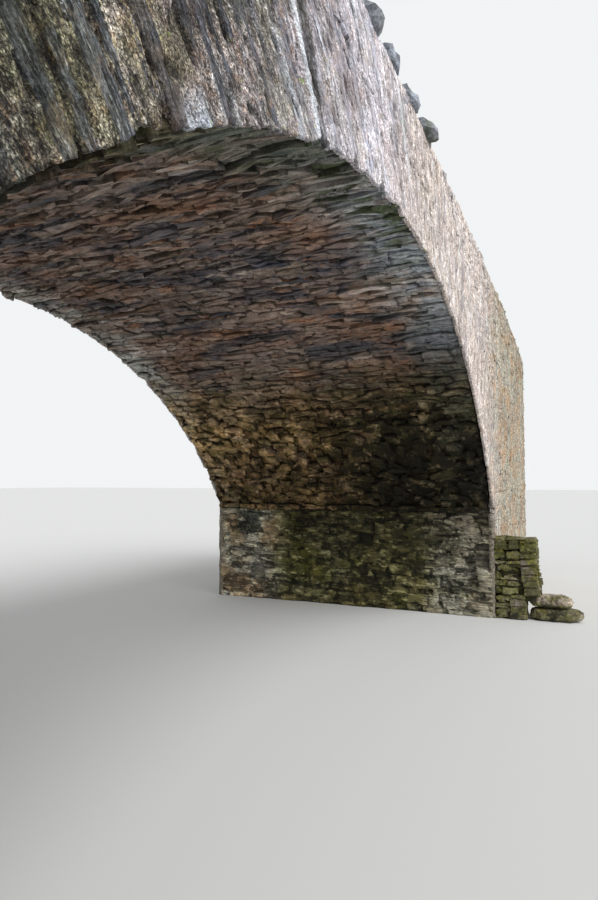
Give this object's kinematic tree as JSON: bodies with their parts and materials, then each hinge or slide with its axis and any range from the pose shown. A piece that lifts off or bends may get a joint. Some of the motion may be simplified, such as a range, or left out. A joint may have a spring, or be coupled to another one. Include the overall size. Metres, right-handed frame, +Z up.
{
  "type": "stone arch bridge",
  "caption": "Humped road bridge of slate rubble: one segmental arch between abutments, with wing walls, low parapets, rough coping stones and short toe walls at the front.",
  "frame": {"origin": "on the plane of the walls' feet, under the middle of the bridge's outline box; the road's centre line lies 0.515 m behind it, because the toe walls and their slabs lengthen the front", "axes": "+X along the road to the right end seen from the front, +Y from the front face to the back face, +Z up"},
  "size_m": [18.2, 5.65, 5.0013],
  "materials": {
    "slate_soffit": "rough, damp, rust brown to blue grey",
    "slate_ring": "rough, split slate on edge",
    "slate_face": "rough, weathered, lime streaked",
    "slate_abutment": "rough, mortared, damp",
    "coping_slate": "split slate, lichened",
    "rubble": "packed rubble and earth",
    "road_stone": "rolled broken stone",
    "mossy_slate": "dry laid, mossy and wet"
  },
  "bodies": {
    "root": {"arch_barrel": "slate_soffit", "front_left_arch_ring": "slate_ring", "front_right_arch_ring": "slate_ring", "back_left_arch_ring": "slate_ring", "back_right_arch_ring": "slate_ring", "left_abutment": "slate_abutment", "right_abutment": "slate_abutment", "left_springer_course": "slate_abutment", "right_springer_course": "slate_abutment", "front_left_spandrel": "slate_face", "front_right_spandrel": "slate_face", "back_left_spandrel": "slate_face", "back_right_spandrel": "slate_face", "front_left_wing_wall": "slate_face", "front_right_wing_wall": "slate_face", "back_left_wing_wall": "slate_face", "back_right_wing_wall": "slate_face", "front_left_parapet": "slate_face", "front_right_parapet": "slate_face", "back_left_parapet": "slate_face", "back_right_parapet": "slate_face", "front_left_coping": "coping_slate", "front_right_coping": "coping_slate", "back_left_coping": "coping_slate", "back_right_coping": "coping_slate", "left_haunch_fill": "rubble", "right_haunch_fill": "rubble", "left_approach_fill": "rubble", "right_approach_fill": "rubble", "roadway": "road_stone", "front_left_toe_wall": "mossy_slate", "front_right_toe_wall": "mossy_slate", "front_left_toe_slabs": "mossy_slate", "front_right_toe_slabs": "mossy_slate"}
  },
  "joints": []
}
